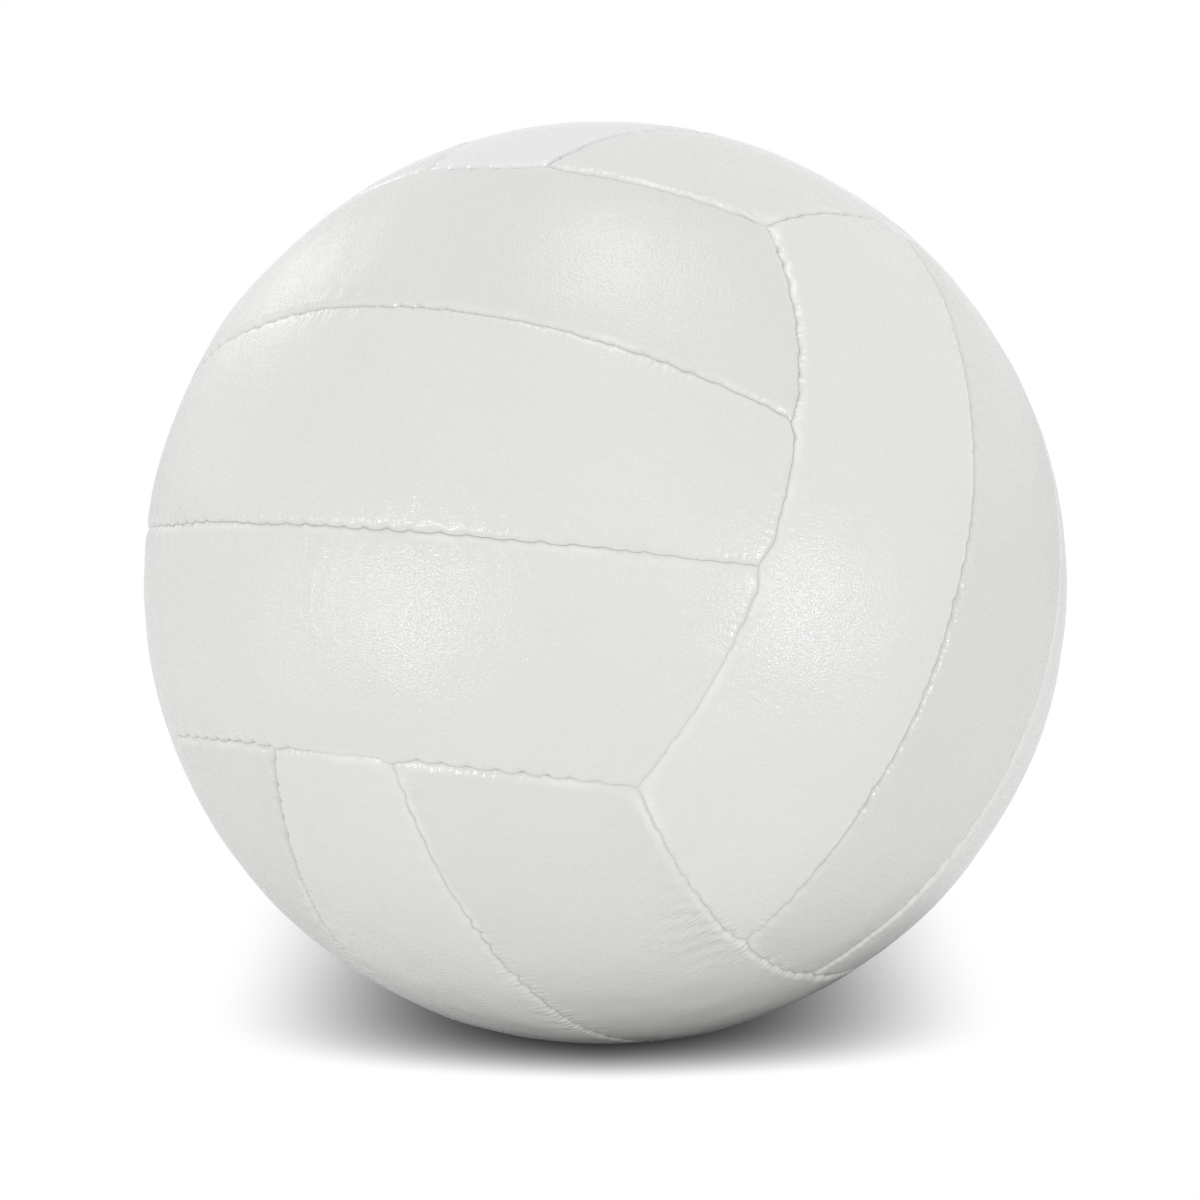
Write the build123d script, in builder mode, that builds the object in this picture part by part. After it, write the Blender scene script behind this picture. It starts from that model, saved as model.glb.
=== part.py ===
"""A sewn indoor volleyball: 18 lined skin panels, seam thread, a bladder and its needle valve.

Frame: origin at the centre of the ball, +Z up as the ball lies, -Y towards the viewer. Millimetres.
The pattern is a cube's: six groups of three strips, the strips of neighbouring groups crossing. Two panel
shapes, a middle strip and a side strip, are modelled over +Z with the strip along X and set round the ball.
"""

from build123d import *
from math import acos, atan2, cos, degrees, sin, sqrt
import os

os.makedirs("parts", exist_ok=True)

# Ball and panel pattern
ball_diameter = 210.0
group_width = 141.0  # arc across the three strips of a group, at their middle
middle_strip_width = 48.4  # arc across the middle strip
lie_angles = (-26.9, 13.0, -31.2)  # how the pattern is turned as the ball lies

# Skin panels
skin = 1.0
turn_in = 4.0  # depth of the edges that are folded in and sewn together
edge_roll = 1.8  # radius of the fold
seam_gap = 0.2

# Linings
glue_line = 0.1
lining = 2.6
lining_margin = 0.4  # space between a lining's rim and the folded skin

# Seam thread
thread_diameter = 0.7
thread_clearance = 0.1
stitch_margin = 1.4  # from the stitch line to the folded edge's end
thread_stop = 5.0  # how far a run ends from the seam that crosses it

# Bladder and the patch over its valve
bladder_wall = 0.8
bladder_clearance = 0.3
patch = 0.4
patch_diameter = 36.0
patch_clearance = 0.1

# Valve sleeve
neck_diameter = 9.2
neck_clearance = 0.3
valve_recess = 0.6  # the neck's mouth below the skin
flange_diameter = 26.0
flange = 1.4
flange_clearance = 0.1
sleeve_diameter = 12.0
sleeve_length = 12.0  # below the flange
sleeve_round = 1.5

# Valve plug and its needle hole
plug_head_diameter = 6.8
plug_head_height = 2.0
plug_head_round = 0.4
plug_diameter = 5.6
plug_nose_round = 0.8
plug_clearance = 0.05
plug_sink = 0.2  # the head below the neck's mouth
plug_short = 0.5  # the nose short of the sleeve's end
needle_hole_diameter = 2.6
needle_hole_depth = 9.0
needle_funnel_diameter = 4.0
needle_funnel_depth = 0.8

# Each group: its outward normal, the way its strips run, and the names of its side strips,
# first the one on the side that normal x run points to
GROUPS = {
    "front": ((0, -1, 0), (1, 0, 0), ("upper", "lower")),
    "back": ((0, 1, 0), (1, 0, 0), ("lower", "upper")),
    "right": ((1, 0, 0), (0, 0, 1), ("front", "rear")),
    "left": ((-1, 0, 0), (0, 0, 1), ("rear", "front")),
    "top": ((0, 0, 1), (0, 1, 0), ("left", "right")),
    "bottom": ((0, 0, -1), (0, 1, 0), ("right", "left")),
}
VALVE_GROUP = "left"
MIDDLE = 0
SIDE = 1

# Radii of the layers, from the outside in
ball_radius = ball_diameter / 2
fold_end_radius = ball_radius - turn_in
lining_radius = ball_radius - skin - glue_line
patch_radius = lining_radius - lining - patch_clearance
bladder_radius = min(fold_end_radius - bladder_clearance, patch_radius - patch - patch_clearance)
thread_radius = fold_end_radius + stitch_margin

# Distances along the surface from a seam's middle line to the edge of each layer
skin_inset = seam_gap / 2
pocket_inset = skin_inset + skin
lining_inset = pocket_inset + lining_margin

# Half angles of a group and of its middle strip, seen from the ball's centre
group_angle = group_width / ball_diameter
strip_angle = middle_strip_width / ball_diameter

# A group's long edge is the circle through two corners of the pattern's cube and the edge's middle:
# the plane of that circle, by its normal (across the strips, outward) and its distance from the centre
corner = ball_radius / sqrt(3)
edge_rise = ball_radius * cos(group_angle) - corner
edge_bow = ball_radius * sin(group_angle) - corner
edge_across = edge_rise / sqrt(edge_rise**2 + edge_bow**2)
edge_out = -edge_bow / sqrt(edge_rise**2 + edge_bow**2)
edge_distance = (edge_across + edge_out) * corner

# Each seam: the normal of its plane, facing out of the panel, its distance and the way that it runs.
# A strip's two ends lie on the long edges of the groups that it meets there.
ALONG = (1, 0, 0)
ACROSS = (0, 1, 0)
END_SEAMS = [((side * -edge_out, 0, -edge_across), -edge_distance, ACROSS) for side in (1, -1)]
EDGE_SEAM = ((0, edge_across, edge_out), edge_distance, ALONG)
STRIP_SEAM = ((0, cos(strip_angle), -sin(strip_angle)), 0, ALONG)
MIRRORED_STRIP_SEAM = ((0, -cos(strip_angle), -sin(strip_angle)), 0, ALONG)
FACING_STRIP_SEAM = ((0, -cos(strip_angle), sin(strip_angle)), 0, ALONG)
SEAMS = {
    MIDDLE: END_SEAMS + [STRIP_SEAM, MIRRORED_STRIP_SEAM],
    SIDE: END_SEAMS + [FACING_STRIP_SEAM, EDGE_SEAM],
}

# Spheres have their poles past the ends of the strips and their seam at the back
POLES_ALONG_STRIP = (0, 90, 0)


def seam_plane(seam, radius, inset=0.0):
    """The plane of a seam's circle on a layer of the ball, moved into the panel along the surface."""
    normal, distance, run = seam
    direction = Vector(*normal)
    slope = sqrt(1 - (distance / ball_radius) ** 2)
    origin = direction * (distance * radius / ball_radius - inset * slope)
    return Plane(origin, x_dir=run, z_dir=direction)


def seam_circle(seam, radius):
    """The radius of a seam's circle on a layer of the ball."""
    return radius * sqrt(1 - (seam[1] / ball_radius) ** 2)


def layer(strip, outer, inner, inset):
    """A strip's layer between two radii, with walls square to the ball's surface."""
    with BuildPart() as trimmed:
        Sphere(outer, rotation=POLES_ALONG_STRIP)
        for seam in SEAMS[strip]:
            split(bisect_by=seam_plane(seam, outer, inset), keep=Keep.BOTTOM)
    with BuildPart() as wall:
        thicken(trimmed.faces().filter_by(GeomType.SPHERE)[0], amount=inner - outer)
    return wall.part


def skin_panel(strip):
    """A moulded skin: the face, its folded edges, and half of each seam's channel for the thread."""
    block = layer(strip, ball_radius, fold_end_radius, skin_inset)
    pocket = layer(strip, ball_radius - skin, fold_end_radius - skin, pocket_inset)
    with BuildPart() as panel:
        add(block)
        fillet(panel.faces().filter_by(GeomType.SPHERE).sort_by(SortBy.AREA)[-1].edges(), edge_roll)
        add(pocket, mode=Mode.SUBTRACT)
        for seam in SEAMS[strip]:
            with Locations(seam_plane(seam, thread_radius)):
                Torus(
                    seam_circle(seam, thread_radius),
                    thread_diameter / 2 + thread_clearance,
                    mode=Mode.SUBTRACT,
                )
    return panel.part


def lining_panel(strip):
    """The foam and cloth glued behind a skin, inside its folded edges."""
    return layer(strip, lining_radius, lining_radius - lining, lining_inset)


def thread_run(seam):
    """The thread along a seam that runs with the strips, ended short of the seams at their ends.

    It is an arc of a ring. A point at an angle t from the ring's outermost one lies on the plane of an
    end where inward * cos(t) - along * sin(t) = depth."""
    ring = seam_plane(seam, thread_radius)
    ring_radius = seam_circle(seam, thread_radius)
    outermost = 90 if ring.y_dir.Z > 0 else -90
    end = seam_plane(END_SEAMS[0], thread_radius, thread_stop)
    along = ring_radius * end.z_dir.X
    inward = -ring_radius * end.z_dir.dot(ring.y_dir) * outermost / 90
    depth = end.z_dir.dot(ring.origin - end.origin)
    half_arc = degrees(acos(depth / sqrt(along**2 + inward**2)) - atan2(along, inward))
    with BuildPart() as run:
        with Locations(ring):
            Torus(
                ring_radius,
                thread_diameter / 2,
                major_angle=2 * half_arc,
                rotation=(0, 0, outermost - half_arc),
                align=None,
            )
    return run.part


def on_layer(across, radius):
    """A point of a section through the valve's axis, at a distance from it, on a layer of the ball."""
    return (across, sqrt(radius**2 - across**2))


def layer_arc(start, end, radius):
    """An arc of a layer in a section through the valve's axis, between two distances from it."""
    middle = on_layer((start + end) / 2, radius)
    return ThreePointArc(on_layer(start, radius), middle, on_layer(end, radius))


def group_place(group, facing=1):
    """The plane through the ball's centre under a group: X along its strips, Z outward."""
    pattern = Plane.XY.rotated(lie_angles)
    normal, run, _ = GROUPS[group]
    along = pattern.from_local_coords(Vector(*run) * facing)
    return Plane((0, 0, 0), x_dir=along, z_dir=pattern.from_local_coords(Vector(*normal)))


def write_node(name, shape, place):
    """Sets a finished shape in its place on the ball and writes it as a sub-part."""
    with BuildPart() as node:
        with Locations(place):
            add(shape)
    node.part.label = name
    export_step(node.part, f"parts/{name}.step")


# Skins and linings, and the ones that the valve's neck passes through
middle_skin = skin_panel(MIDDLE)
side_skin = skin_panel(SIDE)
middle_lining = lining_panel(MIDDLE)
side_lining = lining_panel(SIDE)

neck_hole_radius = neck_diameter / 2 + neck_clearance
FROM_CENTRE = (Align.CENTER, Align.CENTER, Align.MIN)

with BuildPart() as valve_skin:
    add(middle_skin)
    Cylinder(neck_hole_radius, ball_diameter, align=FROM_CENTRE, mode=Mode.SUBTRACT)

with BuildPart() as valve_lining:
    add(middle_lining)
    Cylinder(neck_hole_radius, ball_diameter, align=FROM_CENTRE, mode=Mode.SUBTRACT)

for group, (_, _, side_names) in GROUPS.items():
    has_valve = group == VALVE_GROUP
    place = group_place(group)
    write_node(f"panel_{group}_middle", valve_skin.part if has_valve else middle_skin, place)
    write_node(f"lining_{group}_middle", valve_lining.part if has_valve else middle_lining, place)
    for side_name, facing in zip(side_names, (1, -1)):
        side_place = group_place(group, facing)
        write_node(f"panel_{group}_{side_name}", side_skin, side_place)
        write_node(f"lining_{group}_{side_name}", side_lining, side_place)

# Thread: the two seams between the strips of a group, and one along each of the group's long edges
strip_threads = [thread_run(STRIP_SEAM), thread_run(MIRRORED_STRIP_SEAM)]
edge_thread = thread_run(EDGE_SEAM)

for group, (_, _, side_names) in GROUPS.items():
    write_node(f"thread_{group}_strips", strip_threads, group_place(group))
    for side_name, facing in zip(side_names, (1, -1)):
        write_node(f"thread_{group}_{side_name}_edge", edge_thread, group_place(group, facing))

# Bladder: a round rubber wall with a hole for the valve's neck
with BuildPart() as bladder:
    Sphere(bladder_radius, rotation=POLES_ALONG_STRIP)
    Sphere(bladder_radius - bladder_wall, rotation=POLES_ALONG_STRIP, mode=Mode.SUBTRACT)
    Cylinder(neck_hole_radius, ball_diameter, align=FROM_CENTRE, mode=Mode.SUBTRACT)

# Patch: a disc of cloth glued under the lining round the neck
with BuildPart() as valve_patch:
    with BuildSketch(Plane.XZ):
        with BuildLine():
            outer_face = layer_arc(neck_hole_radius, patch_diameter / 2, patch_radius)
            inner_face = layer_arc(neck_hole_radius, patch_diameter / 2, patch_radius - patch)
            Line(outer_face @ 0, inner_face @ 0)
            Line(outer_face @ 1, inner_face @ 1)
        make_face()
    revolve(axis=Axis.Z)

# Valve sleeve: a flange behind the bladder's wall, a neck out to the skin and a body inside the bladder
neck_top = ball_radius - valve_recess
head_top = neck_top - plug_sink
head_seat = head_top - plug_head_height - plug_clearance
flange_top_radius = bladder_radius - bladder_wall - flange_clearance
flange_base_radius = flange_top_radius - flange
sleeve_end = flange_base_radius - sleeve_length
head_bore_radius = plug_head_diameter / 2 + plug_clearance
plug_bore_radius = plug_diameter / 2 + plug_clearance

with BuildPart() as valve_sleeve:
    with BuildSketch(Plane.XZ):
        with BuildLine():
            flange_top = layer_arc(neck_diameter / 2, flange_diameter / 2, flange_top_radius)
            flange_base = layer_arc(sleeve_diameter / 2, flange_diameter / 2, flange_base_radius)
            Line(flange_top @ 1, flange_base @ 1)
            Polyline(
                flange_base @ 0,
                (sleeve_diameter / 2, sleeve_end),
                (plug_bore_radius, sleeve_end),
                (plug_bore_radius, head_seat),
                (head_bore_radius, head_seat),
                (head_bore_radius, neck_top),
                (neck_diameter / 2, neck_top),
                flange_top @ 0,
            )
        make_face()
    revolve(axis=Axis.Z)
    sleeve_rims = valve_sleeve.edges().filter_by(GeomType.CIRCLE).group_by(Axis.Z)[0]
    fillet(sleeve_rims.sort_by(SortBy.RADIUS)[-1], sleeve_round)

# Valve plug: a headed rubber stem with a needle hole that stops short of its closed nose
plug_end = sleeve_end + plug_short
hole_end = head_top - needle_hole_depth

with BuildPart() as valve_plug:
    with BuildSketch(Plane.XZ):
        with BuildLine():
            Polyline(
                (0, plug_end),
                (plug_diameter / 2, plug_end),
                (plug_diameter / 2, head_seat + plug_clearance),
                (plug_head_diameter / 2, head_seat + plug_clearance),
                (plug_head_diameter / 2, head_top),
                (needle_funnel_diameter / 2, head_top),
                (needle_hole_diameter / 2, head_top - needle_funnel_depth),
                (needle_hole_diameter / 2, hole_end),
                (0, hole_end),
                close=True,
            )
        make_face()
    revolve(axis=Axis.Z)
    plug_rims = valve_plug.edges().filter_by(GeomType.CIRCLE).group_by(Axis.Z)
    fillet(plug_rims[0], plug_nose_round)
    fillet(plug_rims[-1].sort_by(SortBy.RADIUS)[-1], plug_head_round)

valve_place = group_place(VALVE_GROUP)
write_node("bladder", bladder.part, valve_place)
write_node("valve_patch", valve_patch.part, valve_place)
write_node("valve_sleeve", valve_sleeve.part, valve_place)
write_node("valve_plug", valve_plug.part, valve_place)
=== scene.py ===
import bmesh
import bpy
import numpy as np
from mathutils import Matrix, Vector


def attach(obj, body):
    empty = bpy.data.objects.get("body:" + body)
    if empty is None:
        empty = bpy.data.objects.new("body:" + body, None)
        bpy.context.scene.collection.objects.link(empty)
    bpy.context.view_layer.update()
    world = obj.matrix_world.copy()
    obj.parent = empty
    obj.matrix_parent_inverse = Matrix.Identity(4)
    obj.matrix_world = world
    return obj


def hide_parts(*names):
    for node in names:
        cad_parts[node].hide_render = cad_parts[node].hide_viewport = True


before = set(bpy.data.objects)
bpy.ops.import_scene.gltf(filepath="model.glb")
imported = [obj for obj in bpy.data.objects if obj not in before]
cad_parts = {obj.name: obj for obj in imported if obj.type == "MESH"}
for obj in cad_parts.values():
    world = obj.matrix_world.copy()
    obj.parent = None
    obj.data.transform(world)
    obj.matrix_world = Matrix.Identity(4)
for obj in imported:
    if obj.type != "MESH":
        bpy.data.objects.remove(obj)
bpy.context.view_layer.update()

# SKIN PANELS
# Eighteen strips of pale synthetic leather, three to each of six groups, moulded to the ball.
# Their edges are turned in and sewn from inside, so a seam shows as two rolled lips over a thin line.

BALL_RADIUS = 105.0  # mm, as are the lengths below
GROUP_WIDTH, MIDDLE_WIDTH = 141.0, 48.4  # across a group's three strips and across its middle one
SEAM_HALF_GAP = 0.012
LIP_WIDTH, LIP_DROP = 2.6, 1.3  # how far a lip rolls in from its seam, and down into it
LOW_ROLL = 0.55  # the share of that width where a lip lies low
LIP_MEET, LIP_CLOSE = 0.48, 0.96  # how far short of upright lips meet, and how much more where they close up
TURN_IN = 2.2
SKIN_WALL = 0.7
STITCH_PITCH, PUCKER_PITCH, FOLD_HEIGHT = 5.3, 4.6, 0.10
VALVE_HOLE, HOLE_LIP = 4.9, (0.7, 0.45)  # in the strip that carries the valve: the hole's radius and its lip
VALVE_GROUP = "left"

# A group's long edge lies on the circle through two corners of a cube and a point half a group's width
# from the group's middle. For a ball of radius 1, its plane has this normal and distance from the centre
STRIP_ANGLE = MIDDLE_WIDTH / 2 / BALL_RADIUS
GROUP_ANGLE = GROUP_WIDTH / 2 / BALL_RADIUS
CORNER = np.sqrt(1 / 3)
EDGE_TILT = np.arctan2(CORNER - np.sin(GROUP_ANGLE), np.cos(GROUP_ANGLE) - CORNER)
EDGE_ACROSS, EDGE_OUT = np.cos(EDGE_TILT), np.sin(EDGE_TILT)
EDGE_DISTANCE = (EDGE_ACROSS + EDGE_OUT) * CORNER

# Forms beside a seam: how high and how wide they are and, where it isn't 0, how far from the seam
STITCH_PINCH = (0.20, 1.2)
STITCH_HOLLOW = (0.08, 3.0)
STITCH_DRAW = (0.17, 2.2)
STITCH_PUCKER = (0.10, 2.4, 2.6)
SEAM_SINK = (0.12, 4.5)
LIP_CROWN = (0.07, 0.9, 1.3)
CROSSING_REACH = 3.0  # a seam's sideways shift fades this near to another seam

# Unevenness: how great it is, the length of its waves and the seed of its draws
WAVERS = ((0.06, 6.5, 11), (0.07, 26.0, 21))
STITCH_JITTER = (0.7, 14.0, 31)
STITCH_STRENGTH = (0.45, 17.0, 41)
GATHER_STRENGTH = (1.0, 46.0, 51)
PADDING = ((0.10, 34.0, 61), (0.035, 13.0, 71))

# Each group: its outward normal, the way its strips run, and the names of its side strips
GROUPS = {
    "front": ((0, -1, 0), (1, 0, 0), ("upper", "lower")),
    "back": ((0, 1, 0), (1, 0, 0), ("lower", "upper")),
    "right": ((1, 0, 0), (0, 0, 1), ("front", "rear")),
    "left": ((-1, 0, 0), (0, 0, 1), ("rear", "front")),
    "top": ((0, 0, 1), (0, 1, 0), ("left", "right")),
    "bottom": ((0, 0, -1), (0, 1, 0), ("right", "left")),
}
# How much paler than the plain tone a strip is, or darker
LEATHER_TONE = {
    "front_middle": 0.5,
    "front_lower": 0.5,
    "right_front": 0.85,
    "right_middle": -0.3,
    "right_rear": 0.9,
    "top_left": 0.6,
    "top_middle": 1.7,
    "top_right": 0.6,
    "bottom_left": -0.2,
    "bottom_middle": 0.65,
    "bottom_right": 0.05,
}
# Long puckers: the seam that they start from, where along it, how wide and how far they reach, and a slant
GATHERS = {
    "bottom_right": (3, -29.0, 15.0, 11.0, 0.6),
    "front_lower": (2, 0.0, 5.0, 22.0, 0.0),
    "back_middle": (2, 20.0, 14.0, 9.0, 0.4),
    "left_front": (3, 12.0, 12.0, 10.0, -0.5),
    "top_middle": (3, -25.0, 10.0, 12.0, 0.5),
}

# Where the lips of a seam close up to a soft valley, or part: the way there, its spread, and how much
CLOSED = (
    ((0.19, -0.98, 0.03), 24.0, 0.6),
    ((-0.50, -0.85, -0.17), 12.0, 1.0),
    ((0.16, -0.91, -0.37), 26.0, 0.35),
    ((0.34, -0.71, -0.62), 16.0, 0.8),
    ((-0.30, -0.86, -0.41), 26.0, 0.35),
    ((-0.62, -0.69, -0.38), 22.0, -0.3),
    ((-0.01, -0.42, 0.91), 30.0, -0.3),
    ((0.53, 0.76, 0.38), 12.0, 0.9),
    ((-0.82, 0.21, 0.53), 10.0, 0.9),
)
CLOSED_RANGE = (-0.35, 1.0)


def turn(axis, degrees):
    """The matrix of a turn about a coordinate axis: cosine and sine in the plane of the other two."""
    a, b = (axis + 1) % 3, (axis + 2) % 3
    matrix = np.eye(3)
    matrix[[a, b], [a, b]] = np.cos(np.radians(degrees))
    matrix[b, a] = np.sin(np.radians(degrees))
    matrix[a, b] = -matrix[b, a]
    return matrix


LIE = turn(0, -26.9) @ turn(1, 13.0) @ turn(2, -31.2)  # how the ball lies on the floor


def group_axes(group, facing=1):
    """A group's own axes as columns: along its strips, across them, and out of the ball."""
    outward, along, _ = GROUPS[group]
    along = np.array(along) * facing
    return LIE @ np.column_stack([along, np.cross(outward, along), outward])


def strips():
    """Each strip of the ball: its group, its name, whether it is a middle one, and its own axes."""
    for group, (_, _, sides) in GROUPS.items():
        for strip, facing in (("middle", 1), (sides[0], 1), (sides[1], -1)):
            yield group, strip, strip == "middle", group_axes(group, facing)


def unit(vectors):
    """Vectors divided by their lengths."""
    return vectors / np.linalg.norm(vectors, axis=-1, keepdims=True)


def plane_waves(points, size, wavelength, seed, count=20):
    """Smooth noise of a size: the sum of sine waves of about one length, each in its own random direction."""
    draw = np.random.default_rng(seed)
    direction = unit(draw.normal(size=(count, 3)))
    number = 2 * np.pi / (wavelength * draw.uniform(0.75, 1.35, count))
    phase = draw.uniform(0, 2 * np.pi, count)
    return np.sin(points @ (direction * number[:, None]).T + phase).sum(-1) * size * np.sqrt(2 / count)


def end_angle(across):
    """How far a strip reaches along, at an angle across: where its meridian meets the end's circle."""
    level = EDGE_ACROSS * np.cos(across)
    return np.arctan2(EDGE_OUT, level) + np.arccos(EDGE_DISTANCE / np.hypot(EDGE_OUT, level))


def edge_angle(along):
    """How far a group reaches across, at an angle along: where that circle meets the long edge's."""
    return np.arcsin(EDGE_DISTANCE / np.cos(along)) - np.arctan2(EDGE_OUT, EDGE_ACROSS)


def rows(near, middle):
    """Grid lines from border to border: at given distances near each, and evenly spread between.

    A line lies at start + share * (width - 2 * margin) from the first border."""
    share = np.linspace(0, 1, middle + 1)[1:-1]
    margin = near[-1]
    start = np.concatenate([near, np.full(len(share), margin), 2 * margin - near[::-1]])
    return start, np.concatenate([0 * near, share, 0 * near + 1]), margin


def strip_plan(middle, across_rows, along_rows):
    """Angles along and across of a strip's grid, found in turn because each border bends with the other."""
    start, share, margin = across_rows
    end_start, end_share, end_margin = (np.expand_dims(part, -1) for part in along_rows)
    guess = 0.0 if middle else 0.45
    across = np.full((len(end_start), len(start)), guess)
    for _ in range(12):
        reach = end_angle(across)
        along = (end_start + end_share * (2 * reach * BALL_RADIUS - 2 * end_margin)) / BALL_RADIUS - reach
        low = -STRIP_ANGLE if middle else STRIP_ANGLE
        high = STRIP_ANGLE if middle else edge_angle(along)
        ring = BALL_RADIUS * np.cos(along)
        across = low + (start + share * ((high - low) * ring - 2 * margin)) / ring
    return along, across


def on_ball(along, across):
    """Points of a unit ball at angles along and across a strip, in the strip's own axes."""
    return np.stack([np.sin(along), np.cos(along) * np.sin(across), np.cos(along) * np.cos(across)], -1)


def strip_seams(middle):
    """A strip's seams: the normal of each one's plane, out of the strip, its distance and how it runs."""
    tilt = np.array([0, np.cos(STRIP_ANGLE), -np.sin(STRIP_ANGLE)])
    ends = [((side * -EDGE_OUT, 0, -EDGE_ACROSS), -EDGE_DISTANCE, (0, 1, 0)) for side in (1, -1)]
    if middle:
        return ends + [(tilt, 0, (1, 0, 0)), (tilt * (1, -1, 1), 0, (1, 0, 0))]
    return ends + [(-tilt, 0, (1, 0, 0)), ((0, EDGE_ACROSS, EDGE_OUT), EDGE_DISTANCE, (1, 0, 0))]


def seam_way(direction, axes):
    """1 or -1, so that the strips on both sides of a seam measure it in one direction."""
    square_to_no_seam = (0.31, 0.5, 0.81)
    return 1 if (axes @ direction) @ square_to_no_seam > 0 else -1


def seam_measures(points, seam, axes):
    """Distance from a seam and length along it from its middle, both in mm on the ball's surface."""
    normal, distance, run = (np.array(part, float) for part in seam)
    run = run * seam_way(run, axes)
    out = np.cross(normal, run)
    out *= np.sign(out[2])
    away = (np.arccos(np.clip(points @ normal, -1, 1)) - np.arccos(distance)) * BALL_RADIUS
    turned = np.arctan2(points @ run, (points - distance * normal) @ out)
    return away, turned * np.sqrt(1 - distance**2) * BALL_RADIUS


def junctions():
    """Where strip seams end on the next group's long edge, and the way in along each, on a unit ball."""
    places, inward = [], []
    reach = end_angle(STRIP_ANGLE)
    for group in GROUPS:
        axes = group_axes(group)
        for end in (1, -1):
            for side in (1, -1):
                tilt = np.array([0, np.sin(side * STRIP_ANGLE), np.cos(STRIP_ANGLE)])
                places.append(axes @ (tilt * np.cos(reach) + (end * np.sin(reach), 0, 0)))
                inward.append(axes @ (tilt * np.sin(reach) - (end * np.cos(reach), 0, 0)))
    return np.array(places), np.array(inward)


VALVE_AXES = group_axes(VALVE_GROUP)
CALM_REACH = 14.0  # seams lie still as far as this from the valve
JUNCTIONS, PULL = junctions()
JUNCTION_REACH = 1.9
JUNCTION_PULL = np.random.default_rng(7).uniform(0.7, 1.5, len(JUNCTIONS))


def bell(distance, width):
    """exp(-(distance / width) ** 2): 1 at no distance, and nearly 0 at twice the width."""
    return np.exp(-((distance / width) ** 2))


def swell(away, height, width, middle=0.0):
    """The height of a rounded form beside a seam: a bell about a distance from it."""
    return height * bell(away - middle, width)


def sewn(points):
    """Points of the pattern as sewn: seams waver a little, and are drawn in where three of them meet.

    The same shift takes both sides of a seam along, so that they stay together."""
    mm = points * BALL_RADIUS
    shift = sum(
        np.stack([plane_waves(mm, size, length, seed + i) for i in range(3)], -1)
        for size, length, seed in WAVERS
    )
    from_valve = np.linalg.norm(points - VALVE_AXES[:, 2], axis=-1) * BALL_RADIUS
    shift *= (1 - bell(from_valve, CALM_REACH))[..., None]
    for place, pull, size in zip(JUNCTIONS, PULL, JUNCTION_PULL):
        away = np.linalg.norm(points - place, axis=-1) * BALL_RADIUS
        shift += pull * (size * bell(away, JUNCTION_REACH * np.sqrt(2)))[..., None]
    return unit(mm + shift)


def lip(distance, width, drop):
    """The height of a rolled edge: a quarter of an ellipse from the wall of the seam up to the face."""
    inside = np.clip(1 - distance / width, 0, 1)
    return drop * (np.sqrt(1 - inside**2) - 1)


def lip_rise(group, middle):
    """How far each lip of a strip stands out beside its neighbour's, from 0 to 1, in the order of its seams.

    Side strips stand over middle ones, and the front group's border is drawn in under the others."""
    low, high = 0.2, 1.0
    border = low if group == "front" else high
    return (border, border) + ((low, low) if middle else (high, border))


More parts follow.
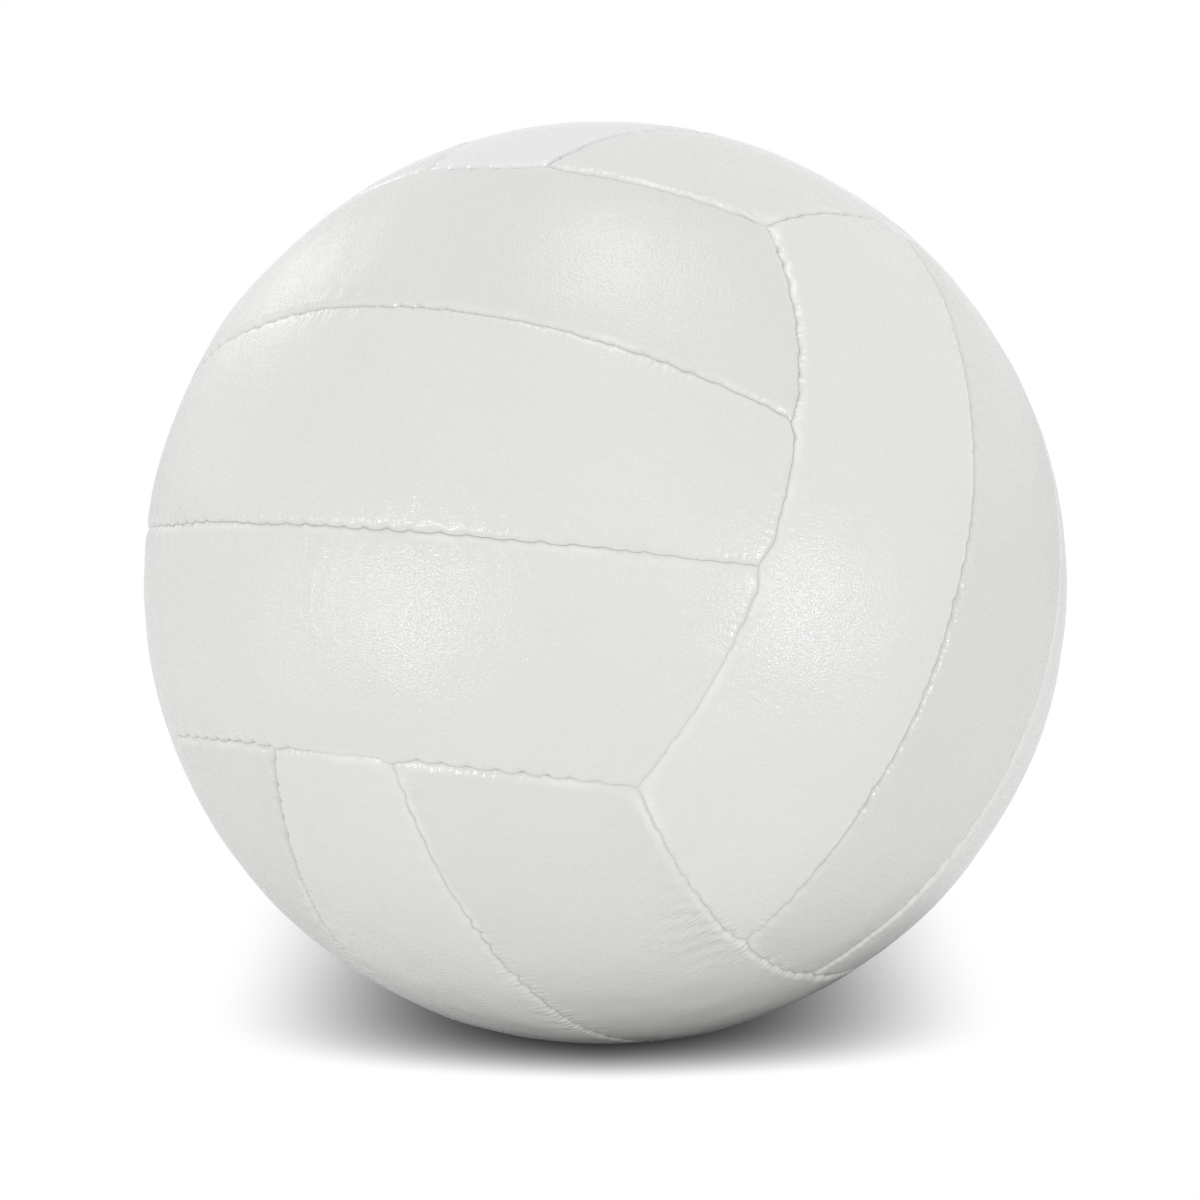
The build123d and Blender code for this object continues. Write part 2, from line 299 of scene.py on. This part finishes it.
def sewn_relief(points, seams, axes, rise, gather=None):
    """The face's height over the ball's sphere, its sideways shift, and what the leather needs of the seams.

    The lips roll down into the seams. Each stitch pinches them and draws the seam to one side, the
    leather beside puckers at the stitches' pitch, and the padding leaves a slow, slight unevenness.
    A seam's sideways shift fades where it meets another, so that the third panel there stays with it."""
    world = points @ axes.T * BALL_RADIUS
    jitter = plane_waves(world, *STITCH_JITTER)
    closed = sum(
        amount * bell(np.linalg.norm(world - np.array(way) * BALL_RADIUS, axis=-1), spread)
        for way, spread, amount in CLOSED
    ).clip(*CLOSED_RANGE)
    slack = 1 - 0.5 * closed  # the stitches pull half as hard where lips close up
    strength = np.clip(1 + plane_waves(world, *STITCH_STRENGTH), 0.3, 1.8) * slack
    gathered = np.clip(0.35 + plane_waves(world, *GATHER_STRENGTH), 0.1, 1.4) * slack
    height = sum(plane_waves(world, *unevenness) for unevenness in PADDING)
    measures = [seam_measures(points, seam, axes) for seam in seams]
    ends = np.minimum(measures[0][0], measures[1][0])
    side_strip = seams[3][1] > 0
    sway = 0
    for place, (seam, (away, length)) in enumerate(zip(seams, measures)):
        stitch = np.cos(np.pi * (length + jitter) / STITCH_PITCH) ** 2
        height -= strength * stitch * (swell(away, *STITCH_PINCH) + swell(away, *STITCH_HOLLOW))
        pucker = np.cos(2 * np.pi * (length + 1.4 * jitter) / STITCH_PITCH)
        height += gathered * pucker * swell(away, *STITCH_PUCKER)
        turn_angle = 2 * np.pi * (length + jitter) / STITCH_PITCH
        scallop = np.sin(turn_angle + 0.7) + 0.4 * np.sin(2 * turn_angle)
        meets = (measures[3][0] if side_strip else np.inf) if place < 2 else ends
        across = np.array(seam[0], float) * seam_way(np.array(seam[0], float), axes)
        held = strength * scallop * swell(away, *STITCH_DRAW) * (1 - bell(meets, CROSSING_REACH))
        sway = sway + held[..., None] * across
    creased = 0 * height
    if gather:
        seam, middle, spread, reach, slant = gather
        away, length = measures[seam]
        fold = np.cos(2 * np.pi * (length + slant * away + 1.2 * jitter) / PUCKER_PITCH)
        creased = bell(length - middle, spread) * bell(away, reach)
        height += FOLD_HEIGHT * fold * creased
    sides = np.minimum(measures[2][0], measures[3][0])
    ends, sides = (np.clip(away - 0.85 * SEAM_HALF_GAP, 0, None) for away in (ends, sides))
    border = ends + sides - np.hypot(ends, sides)
    aways, lengths = np.moveaxis(np.array(measures), 1, 0)
    nearest, second = np.sort(aways, 0)[:2]
    passing = 0.6  # the distance over which one lip's rise passes into the next one's
    share = np.exp((nearest - aways) / passing)
    proud = np.tensordot(rise, share, 1) / share.sum(0)
    roll = LOW_ROLL + (1 - LOW_ROLL) * proud
    meet = roll * (LIP_MEET + LIP_CLOSE * closed)
    height += lip(border + meet, LIP_WIDTH * roll, LIP_DROP) - swell(border, *SEAM_SINK)
    height += proud * swell(border, *LIP_CROWN)
    marks = {
        "seam_distance": border,
        "proud": proud,
        "open": 1 - closed,
        "creased": creased,
        "seam_length": np.take_along_axis(lengths, aways.argmin(0)[None], 0)[0],
        "pucker": np.clip((4.5 - nearest) / 4, 0, 1) * np.clip((second - nearest - 1) / 3, 0, 1),
    }
    return height, sway, marks


def round_hole(along, across):
    """A grid drawn round the valve's hole, and which of its points are left out.

    Square rings of the grid become circles at the hole and stay square 16 mm out, and they lie closer
    together towards the hole's rim."""
    reach = 16.0
    line, row = along[:, along.shape[1] // 2] * BALL_RADIUS, across[along.shape[0] // 2] * BALL_RADIUS
    before = np.stack(np.meshgrid(line, row, indexing="ij"), -1)
    even = []
    for places in (line, row):
        rim = places[np.abs(np.abs(places) - VALVE_HOLE).argmin()]
        even.append(np.interp(np.abs(places), [0, abs(rim), reach], [0, VALVE_HOLE, reach]) * np.sign(places))
    flat = np.stack(np.meshgrid(*even, indexing="ij"), -1)
    square = np.abs(flat).max(-1)
    out = np.clip((square - VALVE_HOLE) / (reach - VALVE_HOLE), 0, 1)
    close = np.where(square < VALVE_HOLE, square, VALVE_HOLE + (reach - VALVE_HOLE) * out**1.6)
    circle = close / np.maximum(np.hypot(flat[..., 0], flat[..., 1]), 1e-9)
    scale = circle + (close / np.maximum(square, 1e-9) - circle) * (out * out * (3 - 2 * out))
    shift = np.where((square < reach)[..., None], flat * scale[..., None] - before, 0) / BALL_RADIUS
    return along + shift[..., 0], across + shift[..., 1], square < VALVE_HOLE - 1e-6


def grid_piece(name, points, left_out=None, **marks):
    """A smooth mesh from a grid of points in mm, less those left out, with a value a point for each mark.

    Rows cross columns so that the faces look outwards, and points within a micron are merged."""
    height, width = points.shape[:2]
    corner = (np.arange(height - 1)[:, None] * width + np.arange(width - 1)).ravel()
    faces = np.column_stack([corner, corner + width, corner + width + 1, corner + 1])
    if left_out is not None:
        faces = faces[~left_out.ravel()[faces].any(-1)]
    mesh = bpy.data.meshes.new(name)
    mesh.from_pydata((points.reshape(-1, 3) * 0.001).tolist(), [], faces.tolist())
    for mark, values in marks.items():
        layer = mesh.attributes.new(mark, "FLOAT", "POINT")
        layer.data.foreach_set("value", (values + np.zeros((height, width))).ravel().astype(np.float32))
    shape = bmesh.new()
    shape.from_mesh(mesh)
    bmesh.ops.remove_doubles(shape, verts=shape.verts, dist=1e-6)
    loose = [point for point in shape.verts if not point.link_faces]
    bmesh.ops.delete(shape, geom=loose, context="VERTS")
    shape.to_mesh(mesh)
    shape.free()
    mesh.shade_smooth()
    made = bpy.data.objects.new(name, mesh)
    bpy.context.scene.collection.objects.link(made)
    return made


def thickened(piece, wall):
    """A sheet given its thickness inwards, in mm."""
    solid = piece.modifiers.new("thickness", "SOLIDIFY")
    solid.thickness = wall * 0.001
    solid.offset = -1
    return piece


def fitted(piece, material, body, slot, *nodes):
    """Gives a piece its material, the body that it rides on and the CAD nodes that it stands for."""
    piece.data.materials.append(material)
    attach(piece, body)
    if nodes:
        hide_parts(*nodes)
    return piece


def skin_panel(group, strip, middle, axes):
    """A strip's face with its lips, and walls below them down into the seams, given a leather's thickness."""
    name = f"{group}_{strip}"
    with_hole = middle and group == VALVE_GROUP
    lip_lines = LIP_WIDTH * (1 - np.cos(np.radians([0, 9, 18, 28, 39, 51, 64, 78])))
    near = SEAM_HALF_GAP + np.append(lip_lines, [2.6, 3.2])
    beside = np.append(near, SEAM_HALF_GAP + np.array([3.9, 4.6, 5.3, 6.0]))
    lines_across, lines_along = 38, 240
    along, across = strip_plan(middle, rows(beside, lines_across), rows(near, lines_along))
    left_out = np.zeros(along.shape, bool)
    if with_hole:
        along, across, left_out = round_hole(along, across)
    points = on_ball(along, across)
    rise, gather = lip_rise(group, middle), GATHERS.get(name)
    height, sway, marks = sewn_relief(points, strip_seams(middle), axes, rise, gather)
    if with_hole:
        from_rim = np.arccos(np.clip(points[..., 2], -1, 1)) * BALL_RADIUS - VALVE_HOLE
        height += lip(np.maximum(from_rim, 0), *HOLE_LIP)
    points = unit(points + sway / BALL_RADIUS)
    walls = 2
    depth = np.zeros(np.array(height.shape) + 2 * walls)
    rows_out, columns_out = (np.minimum(np.arange(size), np.arange(size)[::-1]) for size in depth.shape)
    depth += np.clip(walls - np.minimum.outer(rows_out, columns_out), 0, None) * (TURN_IN - LIP_DROP) / walls
    marks |= {"strip_along": along * BALL_RADIUS, "strip_across": across * BALL_RADIUS}
    points, height, left_out, *values = (
        np.pad(array, [(walls, walls)] * 2 + [(0, 0)] * (array.ndim - 2), mode="edge")
        for array in (points, height, left_out, *marks.values())
    )
    placed = sewn(points @ axes.T) * (BALL_RADIUS + height - depth)[..., None]
    marks = dict(zip(marks, values), leather_tone=LEATHER_TONE.get(name, 0.0))
    piece = grid_piece(f"skin_{name}", placed, left_out, **marks)
    return thickened(piece, SKIN_WALL)


class Signal:
    """A node's socket. Arithmetic on it adds Math nodes."""

    def __init__(self, finish, socket):
        self.finish, self.socket = finish, socket

    def math(self, operation, *values):
        return self.finish.node("ShaderNodeMath", {"operation": operation}, dict(enumerate(values)))

    def __add__(self, other):
        return self.math("ADD", self, other)

    def __sub__(self, other):
        return self.math("SUBTRACT", self, other)

    def __rsub__(self, other):
        return self.math("SUBTRACT", other, self)

    def __mul__(self, other):
        return self.math("MULTIPLY", self, other)

    __radd__ = __add__
    __rmul__ = __mul__

    def clamped(self, low, high):
        """0 at or below low, 1 at or above high, and even between."""
        return self.finish.node("ShaderNodeMapRange", {"clamp": True}, {0: self, 1: low, 2: high})


class Finish:
    """A material or a world in the making: nodes are added by type, settings and what their sockets hold."""

    def __init__(self, owner):
        owner.use_nodes = True
        self.owner = owner
        self.tree = owner.node_tree
        self.surface = self.tree.nodes.get("Principled BSDF")

    def node(self, kind, settings=None, sockets=None, out=0):
        made = self.tree.nodes.new(kind)
        for setting, value in (settings or {}).items():
            setattr(made, setting, value)
        self.link(made, sockets or {})
        return Signal(self, made.outputs[out])

    def link(self, made, sockets):
        for socket, value in sockets.items():
            if isinstance(value, Signal):
                self.tree.links.new(value.socket, made.inputs[socket])
            else:
                made.inputs[socket].default_value = value

    def place(self):
        return self.node("ShaderNodeTexCoord", out="Object")

    def mark(self, name):
        return self.node("ShaderNodeAttribute", {"attribute_name": name}, out="Fac")

    def noise(self, scale, detail=2.0):
        return self.node("ShaderNodeTexNoise", {}, {"Vector": self.place(), "Scale": scale, "Detail": detail})

    def mixed(self, share, first, second):
        return self.node("ShaderNodeMix", {"data_type": "RGBA"}, {0: share, 6: first, 7: second}, out=2)

    def bumped(self, height, depth, strength=1.0):
        return self.node("ShaderNodeBump", {}, {"Strength": strength, "Distance": depth, "Height": height})


def leather():
    """Pale coated cloth, its bump made of pebbled grain, stretched creases and fine puckers at the seams.

    A pucker is a sine wave along the seam, three to a stitch, that dies away from it."""
    deep, pale = (0.648, 0.654, 0.622, 1), (0.778, 0.774, 0.772, 1)
    painted_highlight_white, painted_seam_shade = (0.90, 0.90, 0.89, 1), (0.42, 0.37, 0.31, 1)
    finish = Finish(bpy.data.materials.new("pale_leather"))
    away = finish.mark("seam_distance")
    mottle = finish.noise(38.0, 3.0)
    shade = (finish.mark("leather_tone") * 0.5 + 0.5) + (mottle - 0.5) * 0.4
    face = finish.mixed(shade.clamped(0.0, 1.5), deep, pale)
    # Painted highlight: the proud lip beside each seam is whitened in a band, as if it caught the light, and
    # is made a little glossier there too.
    band = away.clamped(0.25, 0.6) - away.clamped(0.8, 2.0)
    gloss_and_painted_highlight = band * finish.mark("proud") * (0.1 + finish.noise(70.0, 2.0).clamped(0.4, 0.65) * 0.3)
    # Painted shade: a thin warm grey line where a seam's lips part, standing in for the shade down in the
    # slit between them.
    line = 1 - away.clamped(0.05, 0.17)
    colour = finish.mixed(line * finish.mark("open") * 0.22, finish.mixed(gloss_and_painted_highlight, face, painted_highlight_white), painted_seam_shade)
    pebble = finish.node(
        "ShaderNodeTexVoronoi",
        {"feature": "F1"},
        {"Vector": finish.place(), "Scale": 2050.0},
    )
    fine = finish.noise(2600.0, 2.0)
    stretched = finish.node(
        "ShaderNodeCombineXYZ",
        {},
        {0: finish.mark("strip_along") * 1.1, 1: finish.mark("strip_across") * 0.14},
    )
    crease = finish.node("ShaderNodeTexNoise", {}, {"Vector": stretched, "Scale": 1.0, "Detail": 3.0})
    creased = finish.noise(26.0, 1.0).clamped(0.42, 0.68) + finish.mark("creased") * 4.0
    turned = finish.mark("seam_length") * (6 * np.pi / STITCH_PITCH) + mottle * 9.0
    beside = finish.mark("pucker") * finish.noise(60.0, 1.0).clamped(0.3, 0.6)
    pucker = turned.math("SINE", turned) * beside
    drawn = 0.4 + away.clamped(0.4, 2.6) * 0.6
    grain = ((1 - pebble * pebble) * 0.75 + fine * 0.24) * drawn + crease * creased + pucker * 0.5
    finish.link(
        finish.surface,
        {
            "Base Color": colour,
            "Roughness": 0.18 + (fine - 0.5) * 0.12 - gloss_and_painted_highlight * 0.05,
            "IOR": 1.62,
            "Normal": finish.bumped(grain, 0.0001),
        },
    )
    return finish.owner


pale_leather = leather()
for group, strip, middle, axes in strips():
    panel = skin_panel(group, strip, middle, axes)
    fitted(panel, pale_leather, "ball", "skin", f"panel_{group}_{strip}")

# LININGS
# A sheet of foam faced with woven cloth behind each skin, cut to fit inside its turned edges.
# The glue between them holds the strip's curve.

LINING_RADIUS, LINING_WALL, LINING_MARGIN = 103.4, 2.1, 1.6


def lining_panel(group, strip, middle, axes):
    """A strip of the pattern set in from its seams, at one radius, given the foam's thickness."""
    with_hole = middle and group == VALVE_GROUP
    near = LINING_MARGIN + np.array([0.0, 0.6, 1.6])
    finer = 2 if with_hole else 1
    along, across = strip_plan(middle, rows(near, 18 * finer), rows(near, 68 * finer))
    left_out = None
    if with_hole:
        along, across, left_out = round_hole(along, across)
    placed = sewn(on_ball(along, across) @ axes.T) * LINING_RADIUS
    return thickened(grid_piece(f"foam_{group}_{strip}", placed, left_out), LINING_WALL)


def woven(name, colour, shadow, thread):
    """Plain weave: bands along each axis cross each other, a thread's width in metres apart."""
    wave_at_scale_1 = 0.314
    finish = Finish(bpy.data.materials.new(name))
    bands = [
        finish.node(
            "ShaderNodeTexWave",
            {"bands_direction": axis},
            {"Vector": finish.place(), "Scale": wave_at_scale_1 / thread, "Distortion": 0.6, "Detail": 1.0},
        )
        for axis in "XYZ"
    ]
    weave = bands[0] * bands[1] + bands[1] * bands[2] + bands[2] * bands[0]
    worn = finish.noise(90.0, 3.0)
    finish.link(
        finish.surface,
        {
            "Base Color": finish.mixed((weave * 0.5 + worn * 0.5).clamped(0.1, 0.9), shadow, colour),
            "Roughness": 0.8 + worn * 0.15,
            "Normal": finish.bumped(weave, thread * 0.3),
        },
    )
    return finish.owner


lining_cloth = woven("lining_cloth", (0.86, 0.85, 0.82, 1), (0.74, 0.73, 0.69, 1), 0.0006)
for group, strip, middle, axes in strips():
    lining = lining_panel(group, strip, middle, axes)
    fitted(lining, lining_cloth, "ball", "lining", f"lining_{group}_{strip}")

# SEAM THREAD
# Two-ply thread that sews the turned edges together from inside, one run to a seam.
# It swings from one edge to the other at every stitch and stops short of the seams that it meets.

THREAD_RADIUS, THREAD_STOP = 102.3, 5.0  # where a run lies in the ball, and how far it ends from a seam
PLY_TURN, PLY_RADIUS, PLY_LOBE = 1.7, 0.26, 0.07
THREAD_SWING = 0.2


def thread_run(name, seam, reach, axes):
    """A twisted thread on a seam's circle, as far as an angle each way from the circle's outermost point.

    Its section has two lobes, PLY_RADIUS + PLY_LOBE * cos(2 * angle), that turn once in PLY_TURN of its
    length, and it narrows to nothing at both ends."""
    normal, distance, run = (np.array(part, float) for part in seam)
    out = np.cross(normal, run)
    out *= np.sign(out[2])
    ring = THREAD_RADIUS * np.sqrt(1 - distance**2)
    half = reach * ring
    length = np.concatenate([[-half], np.linspace(-half, half, int(4 * half)), [half]])[:, None]
    around = np.linspace(0, 2 * np.pi, 11)[None]
    outward = np.cos(length / ring)[..., None] * out + np.sin(length / ring)[..., None] * run
    onward = np.cos(length / ring)[..., None] * run - np.sin(length / ring)[..., None] * out
    sideways = np.cross(outward, onward)
    swing = THREAD_SWING * np.sin(2 * np.pi * length / STITCH_PITCH)[..., None] * sideways
    lobes = PLY_RADIUS + PLY_LOBE * np.cos(2 * (around - 2 * np.pi * length / PLY_TURN))
    lobes[[0, -1]] = 0
    section = np.cos(around)[..., None] * outward + np.sin(around)[..., None] * sideways
    placed = distance * normal * THREAD_RADIUS + ring * outward + swing + lobes[..., None] * section
    return grid_piece(name, sewn_along(placed @ axes.T))


def sewn_along(points):
    """Points inside the ball moved with the surface above them."""
    radius = np.linalg.norm(points, axis=-1, keepdims=True)
    return sewn(points / radius) * radius


def twisted_cotton():
    """Undyed thread: fibres show as fine noise, and handling has greyed it in places."""
    greyed, clean = (0.55, 0.53, 0.48, 1), (0.76, 0.74, 0.70, 1)
    finish = Finish(bpy.data.materials.new("seam_thread"))
    fibre, worn = finish.noise(9000.0, 3.0), finish.noise(120.0, 2.0)
    shade = fibre * 0.5 + worn * 0.5
    finish.link(
        finish.surface,
        {
            "Base Color": finish.mixed(shade.clamped(0.25, 0.75), greyed, clean),
            "Roughness": 0.75 + fibre * 0.2,
            "Normal": finish.bumped(fibre, 0.00003),
        },
    )
    return finish.owner


seam_thread = twisted_cotton()
edge_ring = np.sqrt(1 - EDGE_DISTANCE**2)
strip_reach = end_angle(STRIP_ANGLE) - THREAD_STOP / THREAD_RADIUS
corner_stop = THREAD_STOP / np.sin(np.radians(120))  # the angle at which edges meet
edge_reach = np.arcsin(CORNER / edge_ring) - corner_stop / (edge_ring * THREAD_RADIUS)
for group, strip, middle, axes in strips():
    if middle:
        first, second = (
            thread_run(f"stitching_{group}_{side}", seam, strip_reach, axes)
            for side, seam in zip(GROUPS[group][2], strip_seams(True)[2:])
        )
        fitted(first, seam_thread, "ball", "thread", f"thread_{group}_strips")
        fitted(second, seam_thread, "ball", "thread")
    else:
        edge = thread_run(f"stitching_{group}_{strip}_edge", strip_seams(False)[3], edge_reach, axes)
        fitted(edge, seam_thread, "ball", "thread", f"thread_{group}_{strip}_edge")

# BLADDER AND PATCH
# A moulded rubber bladder fills the ball, dusted so that it slides while the cover is sewn up.
# A disc of cloth stiffens the cover where the valve comes through.

BLADDER_RADIUS, BLADDER_WALL = 100.7, 0.8
PATCH_RADIUS, PATCH_WALL, PATCH_EDGE = 101.2, 0.4, 18.0


def round_layer(name, radius, far, lines, ripple=0.0):
    """A layer of the ball from the valve's hole out to an angle from its axis, slightly uneven."""
    polar = np.linspace(VALVE_HOLE / radius, far, lines)[:, None]
    about = np.linspace(0, 2 * np.pi, 145)[None]
    ring = np.sin(polar)
    flat = np.stack([ring * np.cos(about), ring * np.sin(about), np.cos(polar) + 0 * about], -1)
    placed = flat @ VALVE_AXES.T
    uneven = plane_waves(placed * radius, ripple, 30.0, 81)
    return grid_piece(name, placed * (radius - ripple * 1.5 + uneven)[..., None])


def dusted_rubber():
    """Black rubber with a patchy bloom of talc."""
    finish = Finish(bpy.data.materials.new("bladder_rubber"))
    dust = (finish.noise(55.0, 5.0) * 0.7 + finish.noise(900.0, 2.0) * 0.3).clamped(0.45, 0.75)
    finish.link(
        finish.surface,
        {
            "Base Color": finish.mixed(dust, (0.035, 0.035, 0.036, 1), (0.22, 0.22, 0.21, 1)),
            "Roughness": 0.42 + dust * 0.4,
            "Normal": finish.bumped(finish.noise(420.0, 3.0), 0.0001, 0.5),
        },
    )
    return finish.owner


bladder = thickened(round_layer("inner_bladder", BLADDER_RADIUS, np.pi, 97, 0.08), BLADDER_WALL)
fitted(bladder, dusted_rubber(), "ball", "bladder", "bladder")

patch = thickened(round_layer("cloth_patch", PATCH_RADIUS, PATCH_EDGE / PATCH_RADIUS, 15), PATCH_WALL)
patch_cloth = woven("patch_cloth", (0.62, 0.60, 0.56, 1), (0.48, 0.46, 0.42, 1), 0.0009)
fitted(patch, patch_cloth, "ball", "patch", "valve_patch")

# VALVE
# A moulded sleeve with its flange under the bladder's wall and its neck up through the cover, and in it
# the plug, a headed stem whose needle hole stops short of its closed nose. The plug can be pulled out.


def rounded(corners):
    """A line through (across, up, radius) corners, each rounded by an arc from one leg to the other."""
    corners = np.array(corners)
    line = [corners[:1, :2]]
    share = np.linspace(0, 1, 8)[:, None]
    for before, (across, up, radius), after in zip(corners, corners[1:], corners[2:]):
        here = np.array([across, up])
        back, on = unit(before[:2] - here), unit(after[:2] - here)
        leg = radius / np.tan(np.arccos(back @ on) / 2)
        line.append(here + leg * ((1 - share) ** 2 * back + share**2 * on))
    return np.concatenate(line + [corners[-1:, :2]])


def turned(name, outline):
    """A piece turned round the valve's axis from an outline of distances across it and up it."""
    about = np.linspace(0, 2 * np.pi, 97)[None]
    across, up = outline[:, :1], outline[:, 1:]
    flat = np.stack([across * np.cos(about), across * np.sin(about), up + 0 * about], -1)
    return grid_piece(name, flat @ VALVE_AXES.T)


def moulded_rubber():
    """Pale matt rubber, mottled, with the grime that needles leave round the hole."""
    finish = Finish(bpy.data.materials.new("valve_rubber"))
    axis = {0: finish.place(), 1: tuple(map(float, VALVE_AXES[:, 2]))}
    off_axis = finish.node("ShaderNodeVectorMath", {"operation": "CROSS_PRODUCT"}, axis)
    away = finish.node("ShaderNodeVectorMath", {"operation": "LENGTH"}, {0: off_axis}, out="Value")
    cloud, fine = finish.noise(260.0, 4.0), finish.noise(4200.0, 2.0)
    clean = finish.mixed(cloud.clamped(0.3, 0.7), (0.60, 0.59, 0.55, 1), (0.73, 0.72, 0.69, 1))
    grime = (1 - away.clamped(0.0012, 0.0026)) * (0.4 + cloud * 0.6)
    finish.link(
        finish.surface,
        {
            "Base Color": finish.mixed(grime, clean, (0.16, 0.15, 0.14, 1)),
            "Roughness": 0.55 + fine * 0.2,
            "Normal": finish.bumped(fine * 0.5 + cloud, 0.00005),
        },
    )
    return finish.owner


valve_rubber = moulded_rubber()
sleeve_outline = rounded([
    (4.0, 104.4, 0),
    (4.6, 104.4, 0.3),
    (4.6, 99.69, 0.3),
    (9.0, 99.39, 1.0),
    (13.0, 98.95, 0.3),
    (13.0, 97.54, 0.3),
    (6.0, 98.22, 0.4),
    (6.0, 86.4, 1.5),
    (2.85, 86.4, 0.2),
    (2.85, 102.15, 0.1),
    (3.45, 102.15, 0.1),
    (3.45, 104.4, 0.2),
    (4.0, 104.4, 0),
])
fitted(turned("sleeve", sleeve_outline), valve_rubber, "ball", "valve_rubber", "valve_sleeve")

plug_outline = rounded([
    (0, 95.2, 0),
    (1.3, 95.2, 0.3),
    (1.3, 103.4, 0.2),
    (2.0, 104.2, 0.15),
    (3.4, 104.2, 0.4),
    (3.4, 102.2, 0.15),
    (2.8, 102.2, 0.1),
    (2.8, 86.9, 0.8),
    (0, 86.9, 0),
])
fitted(turned("plug_stem", plug_outline), valve_rubber, "plug", "valve_rubber", "valve_plug")

# STAGE
# A white floor and backdrop, with soft light from above and from both sides in front.
# The floor shows the viewer a soft dark patch under the ball, and gives the ball little light from there.

FLOOR_LEVEL = -0.1051
SHADOW_WIDTH, SHADOW_DEPTH, SHADOW_BACK = 0.0968, 0.0875, 0.0453  # half its sizes, and its middle, in metres
SHADOW_ACROSS, SHADOW_DEEP = 0.805, 3.16  # the powers of the two distances that its edge fades by
BACKDROP_LIGHT = 0.828


def grey(level):
    """A colour of three like parts."""
    return (level, level, level, 1)


bpy.ops.mesh.primitive_plane_add(size=8.0, location=(0, 0, FLOOR_LEVEL))
floor = bpy.context.object
floor.name = "floor"
paper = Finish(bpy.data.materials.new("white_floor"))
paper.link(paper.surface, {"Roughness": 0.9, "Specular IOR Level": 0.1})
seen = paper.node("ShaderNodeLightPath", out="Is Camera Ray")
across, back = (paper.node("ShaderNodeSeparateXYZ", {}, {0: paper.place()}, out=axis) for axis in (0, 1))
across, back = across * (1 / SHADOW_WIDTH), (back - SHADOW_BACK) * (1 / SHADOW_DEPTH)
far = across.math("POWER", across * across, SHADOW_ACROSS) + back.math("POWER", back * back, SHADOW_DEEP)
lit = paper.node("ShaderNodeMapRange", {"interpolation_type": "SMOOTHSTEP"}, {0: far, 1: 0.06, 2: 1.0})
darkest = {0: paper.place(), 1: (0.022, 0, 0)}
off = paper.node("ShaderNodeVectorMath", {"operation": "DISTANCE"}, darkest, out="Value")
bounce = paper.mixed(off.clamped(0.04, 0.095), grey(0.03), grey(0.9))
shadow = paper.mixed(back.clamped(-0.3, 0.8), grey(0.05), grey(0.4))
paper.link(paper.surface, {"Base Color": paper.mixed(seen, bounce, shadow)})
white = paper.node("ShaderNodeEmission", {}, {"Color": grey(1), "Strength": 1.0})
body = Signal(paper, paper.surface.outputs[0])
blended = paper.node("ShaderNodeMixShader", {}, {0: seen * lit, 1: body, 2: white})
paper.link(paper.tree.nodes["Material Output"], {"Surface": blended})
floor.data.materials.append(paper.owner)

world = bpy.data.worlds.new("studio")
bpy.context.scene.world = world
sky = Finish(world)
camera_ray, glass_ray, mirror_ray = (
    sky.node("ShaderNodeLightPath", out=f"Is {kind} Ray") for kind in ("Camera", "Transmission", "Glossy")
)
shown = camera_ray.math("MAXIMUM", camera_ray.math("MAXIMUM", camera_ray, glass_ray), mirror_ray)
strength = sky.node("ShaderNodeMapRange", {}, {0: shown, 3: BACKDROP_LIGHT, 4: 1.0})
sky.link(sky.tree.nodes["Background"], {"Color": grey(1), "Strength": strength})


def softbox(name, place, size, power):
    """A four-sided lamp of a size in metres that faces the ball."""
    lamp = bpy.data.lights.new(name, "AREA")
    lamp.shape = "RECTANGLE"
    lamp.size, lamp.size_y = size
    lamp.energy = power
    made = bpy.data.objects.new(name, lamp)
    made.location = place
    made.rotation_euler = (-Vector(place)).to_track_quat("-Z", "Y").to_euler()
    bpy.context.scene.collection.objects.link(made)


softbox("lamp_top", (0.04, 0.02, 1.0), (0.5, 0.3), 1.05)
softbox("lamp_left", (-0.71, -0.77, 0.06), (0.14, 0.12), 1.1)
softbox("lamp_streak", (-0.93, -0.34, -0.03), (0.06, 0.20), 0.4)
softbox("lamp_right", (0.74, -0.74, 0.06), (0.34, 0.12), 1.35)
softbox("lamp_front", (0.14, -0.84, 0.44), (0.34, 0.14), 0.2)
softbox("lamp_rear", (-0.62, 0.70, 0.46), (0.3, 0.25), 0.35)

camera = bpy.data.cameras.new("camera")
camera.lens, camera.sensor_width = 81.4, 36.0
camera.shift_x, camera.shift_y = -0.0042, -0.0145
view = bpy.data.objects.new("camera", camera)
view.location = (0, -0.6125, 0.1302)
view.rotation_euler = (-view.location).to_track_quat("-Z", "Y").to_euler()
bpy.context.scene.collection.objects.link(view)
bpy.context.scene.camera = view
bpy.context.scene.view_settings.view_transform = "Standard"

bpy.context.view_layer.update()
